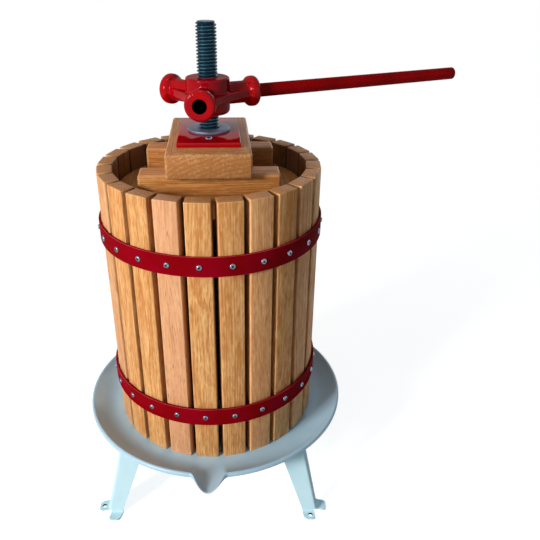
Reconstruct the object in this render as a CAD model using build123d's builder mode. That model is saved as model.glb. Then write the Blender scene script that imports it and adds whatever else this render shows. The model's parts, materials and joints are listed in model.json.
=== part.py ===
from build123d import *
import os
from math import asin, atan, cos, degrees, hypot, radians, sin, sqrt, tan

# Basket press for fruit, in millimetres.
# The floor is z = 0, the press screw stands on the Z axis and the tray's spout points along -Y.
# Turns about Z are in degrees, counted from -Y towards +X.

# Tray: a pressed sheet dish with a turned-down lip and a pinched spout
tray_floor_z = 105.0
tray_margin = 9.5
tray_flare_run = 34.5
tray_rise = 14.5
tray_sheet = 2.0
tray_lip_width = 4.0
tray_lip_drop = 6.0
spout_reach = 27.5
spout_root_rise = 0.5
spout_tip_rise = 3.0
spout_tip_depth = 3.5
spout_tip_width = 12.0
spout_rim_width = 50.0
spout_side_slope = 1.1

# Stand: four splayed angle legs and two crossed flat bars under the tray
leg_rim_inset = 4.4
leg_splay = 23.0
leg_foot_width = 21.0
leg_tray_width = 36.0
leg_sheet = 3.0
foot_notch = 5.0
foot_tab_length = 13.0
foot_tab_skew = 3.0
foot_tab_corner = 3.0
foot_hole_diameter = 7.0
cross_bar_width = 44.0
cross_bar_thickness = 10.0
lap_clearance = 0.1
weld_gap = 0.25

# Press screw and what clamps it to the tray
spindle_diameter = 26.0
spindle_rise = 177.0
spindle_tail = 8.0
spindle_chamfer = 2.5
clamp_fit = 0.05
pass_clearance = 0.5
collar_width = 13.0
collar_height = 12.0
spindle_nut_wall = 10.0
spindle_nut_height = 20.0

# Basket: upright staves inside two steel hoops, one wood screw at each crossing
stave_count = 24
stave_face_radius = 148.5
stave_thickness = 20.0
stave_height = 386.0
stave_gap = 2.5
stave_edge = 1.5
basket_turn = -2.0
hoop_height = 27.0
hoop_thickness = 3.0
hoop_clearance = 0.3
lower_hoop_rise = 62.0
upper_hoop_drop = 67.0
hoop_screw_head_diameter = 8.4
hoop_screw_head_height = 2.4
hoop_screw_head_sides = 6

# Press stack: board halves, two beams, block, steel plate and a loose washer
stack_turn = 3.5
board_depth = 55.0
board_clearance = 3.5
board_thickness = 25.0
board_split = 1.0
board_hole_clearance = 4.0
beam_inset = 9.0
beam_depth = 36.0
beam_height = 37.0
beam_spacing = 114.0
block_width = 105.0
block_overhang = 16.0
block_height = 31.0
block_hole_clearance = 3.0
wood_edge = 3.0
plate_width = 79.0
plate_length = 124.0
plate_thickness = 6.0
plate_edge = 1.0
plate_hole_clearance = 1.0
plate_screw_inset = 20.0
plate_screw_head_diameter = 9.0
plate_screw_head_height = 2.5
plate_screw_shank_diameter = 4.5
plate_screw_length = 24.0
plate_screw_clearance = 0.1
plate_screw_sides = 8
thrust_washer_diameter = 55.0
thrust_washer_thickness = 3.5
thrust_washer_clearance = 0.6

# Press nut: a casting with three handle sockets at equal turns
nut_turn = -4.5
nut_gap = 19.0
nut_running_fit = 0.1
nut_boss_wall = 15.0
nut_boss_height = 45.0
nut_boss_edge = 1.7
nut_arm_count = 3
nut_arm_wall = 5.0
nut_arm_reach = 68.0
nut_bead_step = 5.0
nut_bead_length = 13.0
nut_bead_edge = 1.4
nut_web_thickness = 9.5
nut_web_end_width = 22.0
nut_web_waist_radius = 35.0
nut_socket_diameter = 18.0
nut_socket_depth = 44.0

# Handle: a round bar pushed into one socket
handle_arm = 1
handle_fit = 0.3
handle_end_gap = 2.0
handle_length = 377.0
handle_end_edge = 3.0

# How far cuts reach past what they cut
spout_cut_height = 12.0

# Levels and radii that follow from the sizes above
tray_underside_z = tray_floor_z - tray_sheet
tray_rim_z = tray_floor_z + tray_rise
tray_floor_radius = stave_face_radius + tray_margin
tray_rim_radius = tray_floor_radius + tray_flare_run
tray_lip_radius = tray_rim_radius + tray_lip_width
spout_tip_radius = tray_rim_radius + spout_reach
leg_tray_half = (tray_rim_radius - leg_rim_inset) / sqrt(2)
leg_foot_half = leg_tray_half + leg_splay
bar_bottom_z = tray_underside_z - cross_bar_thickness
spindle_nut_z = bar_bottom_z - spindle_nut_height
spindle_bottom_z = spindle_nut_z - spindle_tail
collar_top_z = tray_floor_z + collar_height
stave_top_z = tray_floor_z + stave_height
spindle_top_z = stave_top_z + spindle_rise
upper_hoop_rise = stave_height - upper_hoop_drop - hoop_height
board_z = stave_top_z - board_depth
beam_z = board_z + board_thickness
block_z = beam_z + beam_height
plate_z = block_z + block_height
plate_top_z = plate_z + plate_thickness
nut_z = plate_top_z + thrust_washer_thickness + nut_gap
nut_arm_z = nut_z + nut_boss_height / 2
spindle_radius = spindle_diameter / 2
stave_inner_radius = stave_face_radius - stave_thickness
stave_width = 2 * stave_inner_radius * tan(radians(180 / stave_count)) - stave_gap
hoop_inner_radius = stave_face_radius + hoop_clearance
hoop_outer_radius = hoop_inner_radius + hoop_thickness
board_radius = stave_inner_radius - board_clearance
beam_outer_reach = (beam_spacing + beam_depth) / 2
beam_length = 2 * sqrt((board_radius - beam_inset) ** 2 - beam_outer_reach**2)
block_length = 2 * (beam_outer_reach + block_overhang)
plate_screw_spacing = plate_length - 2 * plate_screw_inset
socket_radius = nut_socket_diameter / 2
arm_radius = socket_radius + nut_arm_wall
bead_radius = arm_radius + nut_bead_step
boss_radius = spindle_radius + nut_boss_wall

os.makedirs("parts", exist_ok=True)


def finish(piece, node):
    """Label a finished piece and write its STEP file."""
    piece.part.label = node
    export_step(piece.part, f"parts/{node}.step")


def heading(turn):
    """Level unit vector of a turn."""
    return Vector(sin(radians(turn)), -cos(radians(turn)), 0)


def level_plane(turn, z):
    """Level plane whose -Y side faces a turn."""
    return Plane.XY.rotated((0, 0, turn)).offset(z)


def facing_plane(turn, reach, z, lean=0.0):
    """Plane that faces a turn at a reach from the press screw's axis, upright or leaning in by an angle."""
    origin = heading(turn) * reach + Vector(0, 0, z)
    upward = Vector(0, 0, cos(radians(lean))) - heading(turn) * sin(radians(lean))
    return Plane(origin, x_dir=upward, z_dir=upward.cross(heading(turn - 90)))


# Dish section: a flat floor, then a wall in two flares, with its foot, middle and top on one arc
dish_curve_radius = (tray_flare_run**2 + tray_rise**2) / (2 * tray_rise)
dish_flare = asin(tray_flare_run / dish_curve_radius)


def dish_wall(depth):
    """Foot, middle and top of the dish's wall at a depth under its upper face."""
    reach = dish_curve_radius + depth
    centre_z = tray_floor_z + dish_curve_radius
    angles = (0, dish_flare / 2, dish_flare)
    return [(tray_floor_radius + reach * sin(angle), centre_z - reach * cos(angle)) for angle in angles]


def space_over_dish(depth):
    """Half section of all that lies over the dish, from a depth under its upper face."""
    foot, middle, top = dish_wall(depth)
    outer_radius = spout_tip_radius + spout_cut_height
    upper_z = tray_rim_z + spout_cut_height
    with BuildSketch(Plane.XZ) as space:
        Polygon(
            (0, foot[1]),
            foot,
            middle,
            top,
            (outer_radius, top[1]),
            (outer_radius, upper_z),
            (0, upper_z),
            align=None,
        )
    return space.sketch


# Spout trough: its section runs evenly from the edge of the tray floor, share 0, to the tip, share 1
spout_run = spout_tip_radius - tray_floor_radius
spout_rim_share = tray_flare_run / spout_run
spout_tip_z = tray_floor_z + spout_tip_rise
spout_tip_top_z = spout_tip_z + spout_tip_depth
spout_cut_share = 1.02


def through_rim(at_rim, at_tip):
    """Value at the floor's edge that gives at_rim on the way to at_tip."""
    return (at_rim - at_tip * spout_rim_share) / (1 - spout_rim_share)


def spout_section(share, wall=0.0, extra=0.0):
    """Corners of the trough's section, with a wall outside it or extra height over it."""

    def along(start, end):
        return start + (end - start) * share

    low = along(tray_floor_z + spout_root_rise, spout_tip_z) - wall
    rim_high = along(through_rim(tray_rim_z, spout_tip_top_z), spout_tip_top_z)
    rim_half = along(through_rim(spout_rim_width, spout_tip_width), spout_tip_width) / 2
    high = rim_high + extra
    outer_half = rim_half + wall * hypot(1, spout_side_slope)
    low_half = outer_half - (rim_high - low) * spout_side_slope
    high_half = outer_half + extra * spout_side_slope
    y = -tray_floor_radius - spout_run * share
    return [(-low_half, y, low), (low_half, y, low), (high_half, y, high), (-high_half, y, high)]


with BuildPart() as tray:
    lip_inner_radius = tray_lip_radius - tray_sheet
    lip_bottom_z = tray_rim_z - tray_lip_drop
    with BuildSketch(Plane.XZ):
        Polygon(
            (0, tray_underside_z),
            (0, tray_floor_z),
            *dish_wall(0),
            (tray_lip_radius, tray_rim_z),
            (tray_lip_radius, lip_bottom_z),
            (lip_inner_radius, lip_bottom_z),
            *reversed(dish_wall(tray_sheet)),
            align=None,
        )
    revolve(axis=Axis.Z)
    ConvexPolyhedron(spout_section(0, wall=tray_sheet) + spout_section(1, wall=tray_sheet))
    trough_start = spout_section(0, extra=spout_cut_height)
    trough_end = spout_section(spout_cut_share, extra=spout_cut_height)
    ConvexPolyhedron(trough_start + trough_end, mode=Mode.SUBTRACT)
    revolve(space_over_dish(0), Axis.Z, mode=Mode.SUBTRACT)
    with Locations((0, 0, tray_floor_z)):
        Hole(spindle_radius + pass_clearance)
finish(tray, "tray")


def leg_half(z):
    """Half the square through the outer leg corners at a height."""
    return leg_foot_half - leg_splay * z / tray_floor_z


def leg_width(z):
    """Flange width of a leg at a height."""
    return leg_foot_width + (leg_tray_width - leg_foot_width) * z / tray_floor_z


# Both flanges of a leg lean in by the same angle
leg_lean = degrees(atan(leg_splay / tray_floor_z))


def make_leg(turn):
    """Angle leg with its corner at a turn: a flange and foot tab, their mirror image, and one hole."""
    flange_turn = turn - 45
    flange_plane = facing_plane(flange_turn, leg_foot_half, 0, leg_lean)
    flange_length = tray_rim_z / cos(radians(leg_lean))
    tab_start = leg_foot_half - foot_notch
    tab_stop = leg_foot_half - leg_foot_width
    tab_end = leg_foot_half + foot_tab_length
    hole_along = (tab_start + tab_stop + foot_tab_skew) / 2
    hole_out = leg_foot_half + foot_tab_length / 2
    with BuildPart() as leg:
        with BuildSketch(flange_plane):
            Polygon(
                (foot_notch / cos(radians(leg_lean)), -leg_half(foot_notch)),
                (0, foot_notch - leg_half(0)),
                (0, leg_width(0) - leg_half(0)),
                (flange_length, leg_width(tray_rim_z) - leg_half(tray_rim_z)),
                (flange_length, -leg_half(tray_rim_z)),
                align=None,
            )
        extrude(amount=leg_sheet, dir=-heading(flange_turn))
        revolve(space_over_dish(tray_sheet + weld_gap), Axis.Z, mode=Mode.SUBTRACT)
        with BuildSketch(level_plane(flange_turn, 0)) as tab:
            Polygon(
                (tab_start, leg_sheet - leg_foot_half),
                (tab_start, -leg_foot_half),
                (tab_start + foot_tab_skew, -tab_end),
                (tab_stop + foot_tab_skew, -tab_end),
                (tab_stop, -leg_foot_half),
                (tab_stop, leg_sheet - leg_foot_half),
                align=None,
            )
            chamfer(tab.vertices().group_by(Axis.Y)[0], foot_tab_corner)
        extrude(amount=leg_sheet)
        mirror(about=Plane((0, 0, 0), z_dir=heading(turn + 90)))
        with BuildSketch(level_plane(flange_turn, 0)):
            with Locations((hole_along, -hole_out)):
                Circle(foot_hole_diameter / 2)
        extrude(amount=leg_sheet, mode=Mode.SUBTRACT)
    return leg


for leg_index, leg_place in enumerate(("front_right", "rear_right", "rear_left", "front_left")):
    finish(make_leg(45 + 90 * leg_index), f"leg_{leg_place}")


def make_cross_bar(turn, lap_z):
    """Flat bar between two opposite legs, with pointed ends flush in their corners."""
    span = 2 * (leg_half(bar_bottom_z) - leg_sheet)
    with BuildPart() as bar:
        with BuildSketch(Plane.XY.offset(bar_bottom_z)):
            Rectangle(span, span)
        extrude(amount=cross_bar_thickness, taper=leg_lean)
        with BuildSketch(level_plane(turn, bar_bottom_z)):
            Rectangle(2 * span, cross_bar_width)
        extrude(amount=cross_bar_thickness, mode=Mode.INTERSECT)
        lap_width = cross_bar_width + 2 * lap_clearance
        with BuildSketch(level_plane(turn, lap_z)):
            Rectangle(lap_width, lap_width)
        extrude(amount=cross_bar_thickness / 2, mode=Mode.SUBTRACT)
        with Locations((0, 0, tray_underside_z)):
            Hole(spindle_radius + pass_clearance)
    return bar


finish(make_cross_bar(45, bar_bottom_z), "cross_bar_a")
finish(make_cross_bar(-45, bar_bottom_z + cross_bar_thickness / 2), "cross_bar_b")


with BuildPart() as spindle:
    with BuildSketch(Plane.XZ):
        Polygon(
            (0, spindle_bottom_z),
            (spindle_radius - spindle_chamfer, spindle_bottom_z),
            (spindle_radius, spindle_bottom_z + spindle_chamfer),
            (spindle_radius, tray_floor_z),
            (spindle_radius + collar_width, tray_floor_z),
            (spindle_radius + collar_width, collar_top_z),
            (spindle_radius, collar_top_z),
            (spindle_radius, spindle_top_z - spindle_chamfer),
            (spindle_radius - spindle_chamfer, spindle_top_z),
            (0, spindle_top_z),
            align=None,
        )
    revolve(axis=Axis.Z)
finish(spindle, "spindle")

with BuildPart() as spindle_nut:
    with BuildSketch(Plane.XY.offset(spindle_nut_z)):
        RegularPolygon(spindle_radius + spindle_nut_wall, 6, major_radius=False)
        Circle(spindle_radius + clamp_fit, mode=Mode.SUBTRACT)
    extrude(amount=spindle_nut_height)
finish(spindle_nut, "spindle_nut")


stave_turns = [basket_turn + 360 / stave_count * index for index in range(stave_count)]


def make_stave(turn):
    """Upright stave with eased edges."""
    with BuildPart() as stave:
        with BuildSketch(level_plane(turn, tray_floor_z)):
            with Locations((0, stave_thickness / 2 - stave_face_radius)):
                Rectangle(stave_width, stave_thickness)
        extrude(amount=stave_height)
        chamfer(stave.edges().filter_by(Axis.Z), stave_edge)
        chamfer(stave.faces().sort_by(Axis.Z)[-1].edges(), stave_edge)
    return stave


for number, stave_turn in enumerate(stave_turns, start=1):
    finish(make_stave(stave_turn), f"stave_{number:02d}")


def make_hoop(rise):
    """Closed steel band with a flat over each stave."""
    with BuildPart() as hoop:
        with BuildSketch(level_plane(basket_turn - 90, tray_floor_z + rise)):
            for radius, mode in ((hoop_outer_radius, Mode.ADD), (hoop_inner_radius, Mode.SUBTRACT)):
                RegularPolygon(radius, stave_count, major_radius=False, rotation=180 / stave_count, mode=mode)
        extrude(amount=hoop_height)
    return hoop


def make_hoop_screws(rise):
    """The heads of one hoop's screws, with few sides because there are many."""
    z = tray_floor_z + rise + hoop_height / 2
    with BuildPart() as screws:
        with BuildSketch(*[facing_plane(turn, hoop_outer_radius, z) for turn in stave_turns]):
            RegularPolygon(hoop_screw_head_diameter / 2, hoop_screw_head_sides)
        extrude(amount=hoop_screw_head_height)
    return screws


for hoop_place, hoop_rise in (("lower", lower_hoop_rise), ("upper", upper_hoop_rise)):
    finish(make_hoop(hoop_rise), f"{hoop_place}_hoop")
    finish(make_hoop_screws(hoop_rise), f"{hoop_place}_hoop_screws")


def make_board_half(side):
    """Half of the round press board, on the left (-1) or right (1) of its split."""
    with BuildPart() as half:
        with BuildSketch(level_plane(stack_turn, board_z)):
            Circle(board_radius)
            with Locations((side * (board_radius + board_split / 2), 0)):
                Rectangle(2 * board_radius, 2 * board_radius, mode=Mode.INTERSECT)
            Circle(spindle_radius + board_hole_clearance, mode=Mode.SUBTRACT)
        extrude(amount=board_thickness)
    return half


finish(make_board_half(-1), "press_board_left")
finish(make_board_half(1), "press_board_right")


def make_beam(side):
    """Cross beam on the press board, in front of (-1) or behind (1) the press screw."""
    with BuildPart() as beam:
        with BuildSketch(level_plane(stack_turn, beam_z)):
            with Locations((0, side * beam_spacing / 2)):
                Rectangle(beam_length, beam_depth)
        extrude(amount=beam_height)
        chamfer(beam.edges(), wood_edge)
    return beam


finish(make_beam(-1), "beam_front")
finish(make_beam(1), "beam_rear")

plate_shank_radius = plate_screw_shank_diameter / 2

with BuildPart() as pressure_block:
    with BuildSketch(level_plane(stack_turn, block_z)):
        Rectangle(block_width, block_length)
    extrude(amount=block_height)
    chamfer(pressure_block.edges(), wood_edge)
    with BuildSketch(level_plane(stack_turn, plate_z)):
        Circle(spindle_radius + block_hole_clearance)
    extrude(amount=-block_height, mode=Mode.SUBTRACT)
    with BuildSketch(level_plane(stack_turn, plate_top_z)):
        with GridLocations(0, plate_screw_spacing, 1, 2):
            RegularPolygon(plate_shank_radius + plate_screw_clearance, plate_screw_sides)
    extrude(amount=-plate_screw_length - plate_screw_clearance, mode=Mode.SUBTRACT)
finish(pressure_block, "pressure_block")

with BuildPart() as thrust_plate:
    with BuildSketch(level_plane(stack_turn, plate_z)):
        Rectangle(plate_width, plate_length)
        Circle(spindle_radius + plate_hole_clearance, mode=Mode.SUBTRACT)
        with GridLocations(0, plate_screw_spacing, 1, 2):
            RegularPolygon(plate_shank_radius + plate_screw_clearance, plate_screw_sides, mode=Mode.SUBTRACT)
    extrude(amount=plate_thickness)
    chamfer(thrust_plate.faces().sort_by(Axis.Z)[-1].outer_wire().edges(), plate_edge)
finish(thrust_plate, "thrust_plate")

with BuildPart() as plate_screws:
    with BuildSketch(level_plane(stack_turn, plate_top_z)):
        with GridLocations(0, plate_screw_spacing, 1, 2):
            RegularPolygon(plate_screw_head_diameter / 2, plate_screw_sides)
    extrude(amount=plate_screw_head_height)
    with BuildSketch(level_plane(stack_turn, plate_top_z)):
        with GridLocations(0, plate_screw_spacing, 1, 2):
            RegularPolygon(plate_shank_radius, plate_screw_sides)
    extrude(amount=-plate_screw_length)
finish(plate_screws, "plate_screws")

with BuildPart() as thrust_washer:
    with BuildSketch(Plane.XY.offset(plate_top_z)):
        Circle(thrust_washer_diameter / 2)
        Circle(spindle_radius + thrust_washer_clearance, mode=Mode.SUBTRACT)
    extrude(amount=thrust_washer_thickness)
finish(thrust_washer, "thrust_washer")


arm_turns = [nut_turn + 360 / nut_arm_count * index for index in range(nut_arm_count)]
web_end_reach = nut_arm_reach - nut_bead_length / 2


def web_corner(turn, side):
    """Corner of the web where it ends inside an arm's bead."""
    corner = heading(turn) * web_end_reach + heading(turn + 90) * (side * nut_web_end_width / 2)
    return (corner.X, corner.Y)


def web_waist(turn):
    """Middle of the hollow curve between one arm and the next."""
    waist = heading(turn + 180 / nut_arm_count) * nut_web_waist_radius
    return (waist.X, waist.Y)


with BuildPart() as press_nut:
    with BuildSketch(Plane.XY.offset(nut_z)):
        Circle(boss_radius)
    extrude(amount=nut_boss_height)
    chamfer(press_nut.faces().sort_by(Axis.Z)[-1].edges(), nut_boss_edge)
    with BuildSketch(Plane.XY.offset(nut_arm_z - nut_web_thickness / 2)):
        with BuildLine():
            for turn, next_turn in zip(arm_turns, arm_turns[1:] + arm_turns[:1]):
                Line(web_corner(turn, -1), web_corner(turn, 1))
                ThreePointArc(web_corner(turn, 1), web_waist(turn), web_corner(next_turn, -1))
        make_face()
    extrude(amount=nut_web_thickness)
    with BuildSketch(*[facing_plane(turn, 0, nut_arm_z) for turn in arm_turns]):
        Circle(arm_radius)
    extrude(amount=nut_arm_reach)
    with BuildSketch(*[facing_plane(turn, nut_arm_reach, nut_arm_z) for turn in arm_turns]):
        Circle(bead_radius)
    extrude(amount=-nut_bead_length)
    bead_edges = press_nut.edges().filter_by(GeomType.CIRCLE).filter_by(
        lambda edge: abs(edge.radius - bead_radius) < 0.001
    )
    chamfer(bead_edges, nut_bead_edge)
    with BuildSketch(*[facing_plane(turn, nut_arm_reach, nut_arm_z) for turn in arm_turns]):
        Circle(socket_radius)
    extrude(amount=-nut_socket_depth, mode=Mode.SUBTRACT)
    with Locations((0, 0, nut_z + nut_boss_height)):
        Hole(spindle_radius + nut_running_fit)
finish(press_nut, "press_nut")

with BuildPart() as handle_bar:
    handle_way = heading(arm_turns[handle_arm])
    handle_start_reach = nut_arm_reach - nut_socket_depth + handle_end_gap
    with BuildSketch(facing_plane(arm_turns[handle_arm], handle_start_reach, nut_arm_z)):
        Circle(socket_radius - handle_fit)
    extrude(amount=handle_length)
    chamfer(handle_bar.faces().sort_by(Axis((0, 0, 0), handle_way))[-1].edges(), handle_end_edge)
finish(handle_bar, "handle_bar")
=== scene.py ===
import json
import random
from math import asin, atan, atan2, cos, hypot, pi, radians, sin, sqrt, tan

import bmesh
import bpy
from mathutils import Matrix, Vector


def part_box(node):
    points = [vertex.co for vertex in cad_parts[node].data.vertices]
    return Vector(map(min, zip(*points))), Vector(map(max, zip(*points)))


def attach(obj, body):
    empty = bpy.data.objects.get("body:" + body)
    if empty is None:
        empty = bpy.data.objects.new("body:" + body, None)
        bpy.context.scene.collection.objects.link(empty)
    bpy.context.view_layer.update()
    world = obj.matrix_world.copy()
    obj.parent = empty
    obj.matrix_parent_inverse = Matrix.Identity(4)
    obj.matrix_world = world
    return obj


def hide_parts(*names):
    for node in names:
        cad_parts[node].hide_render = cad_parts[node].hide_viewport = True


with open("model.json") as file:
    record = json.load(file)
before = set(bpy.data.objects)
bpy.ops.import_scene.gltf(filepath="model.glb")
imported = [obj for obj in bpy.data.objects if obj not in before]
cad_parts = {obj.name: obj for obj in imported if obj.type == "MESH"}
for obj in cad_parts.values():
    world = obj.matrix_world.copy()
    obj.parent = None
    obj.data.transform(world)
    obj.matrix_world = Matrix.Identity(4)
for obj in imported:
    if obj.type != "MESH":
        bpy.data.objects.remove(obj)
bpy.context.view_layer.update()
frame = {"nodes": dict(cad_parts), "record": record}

# Lengths are written in millimetres and turned into metres by MM.
# Turns about Z count from -Y towards +X, as in the part's source.
MM = 0.001
rng = random.Random(24)


def heading(turn):
    """Level unit vector of a turn in radians."""
    return Vector((sin(turn), -cos(turn), 0))


def turn_of(way):
    """Turn in radians of a vector, seen from above."""
    return atan2(way.x, -way.y)


def polar(radius, angle, height):
    """Point at a radius, an angle from +X and a height."""
    return Vector((radius * cos(angle), radius * sin(angle), height))


def toward(way):
    """Rotation that turns Z to a way."""
    return Vector(way).to_track_quat("Z", "Y").to_matrix().to_4x4()


def node_middle(node):
    """Middle of a CAD node's box."""
    low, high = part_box(node)
    return (Vector(low) + Vector(high)) / 2


def srgb(red, green, blue):
    """Linear colour of a screen colour given as 0 to 255."""

    def linear(value):
        share = value / 255
        return share / 12.92 if share <= 0.04045 else ((share + 0.055) / 1.055) ** 2.4

    return (linear(red), linear(green), linear(blue), 1)


def grey(value):
    """Linear colour without a hue."""
    return (value, value, value, 1)


def new_object(name, data):
    """Object linked to the scene."""
    made = bpy.data.objects.new(name, data)
    bpy.context.scene.collection.objects.link(made)
    return made


# Camera, at the place worked out from the photograph

camera_place = Vector((61.9, -803.1, 750.4)) * MM
camera_yaw = radians(-1.5)
camera_pitch = radians(27.766)
camera_roll = radians(0.94)
camera_data = bpy.data.cameras.new("camera")
camera_data.lens = 41.18
camera_data.sensor_width = 36
camera_data.clip_start = 0.01
camera = new_object("camera", camera_data)
camera.matrix_world = (
    Matrix.Translation(camera_place)
    @ Matrix.Rotation(camera_yaw, 4, "Z")
    @ Matrix.Rotation(pi / 2 - camera_pitch, 4, "X")
    @ Matrix.Rotation(camera_roll, 4, "Z")
)
bpy.context.scene.camera = camera
bpy.context.scene.view_settings.view_transform = "Standard"


# Materials


class Graph:
    """Nodes of one material or world, with short calls for the kinds used here."""

    def __init__(self, owner):
        owner.use_nodes = True
        self.owner = owner
        self.tree = owner.node_tree
        self.tree.nodes.clear()

    def feed(self, socket, value):
        """Link a socket to another one, or set its own value to a constant."""
        if isinstance(value, bpy.types.NodeSocket):
            self.tree.links.new(value, socket)
        else:
            socket.default_value = value

    def node(self, kind, inputs, **settings):
        """New node. Its settings come first, because they decide which inputs it has."""
        made = self.tree.nodes.new(kind)
        for key, value in settings.items():
            setattr(made, key, value)
        for key, value in inputs.items():
            self.feed(made.inputs[key], value)
        return made

    def attribute(self, name, output="Fac"):
        return self.node("ShaderNodeAttribute", {}, attribute_name=name).outputs[output]

    def position(self):
        return self.node("ShaderNodeTexCoord", {}).outputs["Object"]

    def vector(self, operation, *values, output=0):
        inputs = dict(enumerate(values))
        return self.node("ShaderNodeVectorMath", inputs, operation=operation).outputs[output]

    def math(self, operation, *values):
        inputs = dict(enumerate(values))
        return self.node("ShaderNodeMath", inputs, operation=operation).outputs[0]

    def noise(self, vector, factors, detail=2.0, roughness=0.5, output="Fac"):
        """Noise over a vector whose parts are multiplied by factors, in features per metre."""
        scaled = self.vector("MULTIPLY", vector, factors)
        inputs = {"Vector": scaled, "Scale": 1.0, "Detail": detail, "Roughness": roughness}
        return self.node("ShaderNodeTexNoise", inputs).outputs[output]

    def even_noise(self, vector, factor, detail=2.0, roughness=0.5):
        """Noise of the same size in all directions."""
        return self.noise(vector, (factor, factor, factor), detail, roughness)

    def spread(self, value, low, high, to_low=0.0, to_high=1.0):
        """Value brought from one range to another and held inside it."""
        ends = {"From Min": low, "From Max": high, "To Min": to_low, "To Max": to_high}
        return self.node("ShaderNodeMapRange", {"Value": value, **ends}).outputs[0]

    def mix(self, share, first, second, blend="MIX"):
        """Mix of two colours, by the sockets that the mixing node has for colours."""
        inputs = {0: share, 6: first, 7: second}
        return self.node("ShaderNodeMix", inputs, data_type="RGBA", blend_type=blend).outputs[2]

    def bump(self, height, depth):
        return self.node("ShaderNodeBump", {"Height": height, "Distance": depth}).outputs[0]

    def axis_reach(self, vector):
        """Distance from the vector's Z axis."""
        level = self.vector("MULTIPLY", vector, (1, 1, 0))
        return self.vector("LENGTH", level, output="Value")

    def background_rays(self):
        """1 on rays that show the background: of the camera, of reflection and transmission."""
        rays = self.node("ShaderNodeLightPath", {}).outputs
        seen = self.math("MAXIMUM", rays["Is Camera Ray"], rays["Is Glossy Ray"])
        return self.math("MAXIMUM", seen, rays["Is Transmission Ray"])

    def surface(self, **inputs):
        """Finish the material with one shader, and return it."""
        named = {key.replace("_", " "): value for key, value in inputs.items()}
        shader = self.node("ShaderNodeBsdfPrincipled", named)
        self.node("ShaderNodeOutputMaterial", {"Surface": shader.outputs[0]})
        return self.owner


def wood(name, light, dark, end_colour, ring_gap):
    """Oiled beech: soft rings, streaked fibre, dark flecks, duller ends, and faces darkened by
    juice stain and painted shade.
    """
    graph = Graph(bpy.data.materials.new(name))
    grain = graph.attribute("grain", "Vector")
    end = graph.attribute("end")

    wander = graph.noise(grain, (18, 18, 5), detail=1, output="Color")
    sway = graph.vector("SUBTRACT", wander, (0.5, 0.5, 0.5))
    bent = graph.vector("ADD", graph.vector("MULTIPLY", sway, (0.012, 0.012, 0)), grain)
    ring_share = graph.math("FRACT", graph.math("DIVIDE", graph.axis_reach(bent), ring_gap))
    ring_rise = graph.spread(ring_share, 0.35, 0.9)
    ring_fall = graph.spread(ring_share, 1.0, 0.93)
    late_wood = graph.math("MULTIPLY", ring_rise, ring_fall)

    def figure(across, along, low, high, detail=3, roughness=0.5, to=(0.0, 1.0)):
        """Noise drawn out along the grain, with its values from low to high spread out."""
        noise = graph.noise(bent, (across, across, along), detail, roughness)
        return graph.spread(noise, low, high, *to)

    broad = figure(45, 4, 0.3, 0.7)
    blotch = figure(60, 14, 0.5, 0.75)
    fibre = figure(450, 20, 0.36, 0.66, roughness=0.6)
    streak = figure(230, 12, 0.52, 0.78)
    fleck = figure(560, 75, 0.6, 0.74, detail=2)
    dash = figure(330, 85, 0.35, 0.65, detail=2, to=(-0.5, 0.5))
    pores = figure(800, 20, 0.42, 0.6, detail=2)
    thread = graph.noise(bent, (2600, 2600, 45), detail=2)

    end_pores = graph.math("MULTIPLY", pores, end)
    share = graph.math("MULTIPLY", late_wood, graph.spread(end, 0, 1, 0.3, 0.6))
    for mask, weight in ((broad, 0.35), (fibre, 0.75), (dash, 0.4), (end_pores, 0.4)):
        share = graph.math("MULTIPLY_ADD", mask, weight, share)
    colour = graph.mix(share, light, dark)
    tints = (
        (graph.attribute("blush"), 0.6, srgb(250, 186, 148)),
        (streak, 0.4, srgb(176, 100, 46)),
        (blotch, 0.35, srgb(206, 124, 58)),
        (fleck, 0.5, srgb(146, 84, 40)),
        # Eased edges are lighter
        (graph.attribute("edge"), 0.14, srgb(250, 208, 160)),
        (end, 0.5, end_colour),
        # Juice stain and painted shade on inner faces, the sides between staves and the board's
        # rim
        (graph.attribute("stain_and_shade"), 0.75, srgb(74, 44, 18)),
    )
    for mask, weight, tint in tints:
        colour = graph.mix(graph.math("MULTIPLY", mask, weight), colour, tint)
    tone = graph.attribute("tone")
    tone_grey = graph.node("ShaderNodeCombineColor", {0: tone, 1: tone, 2: tone}).outputs[0]
    colour = graph.mix(1.0, colour, tone_grey, "MULTIPLY")

    relief = graph.math("MULTIPLY_ADD", fibre, 0.25, graph.math("MULTIPLY", thread, 0.4))
    relief = graph.math("SUBTRACT", relief, graph.math("MULTIPLY", fleck, 0.5))
    return graph.surface(
        Base_Color=colour,
        Roughness=graph.spread(fibre, 0, 1, 0.46, 0.64),
        Normal=graph.bump(relief, 0.3 * MM),
        Specular_IOR_Level=0.15,
    )


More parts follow.
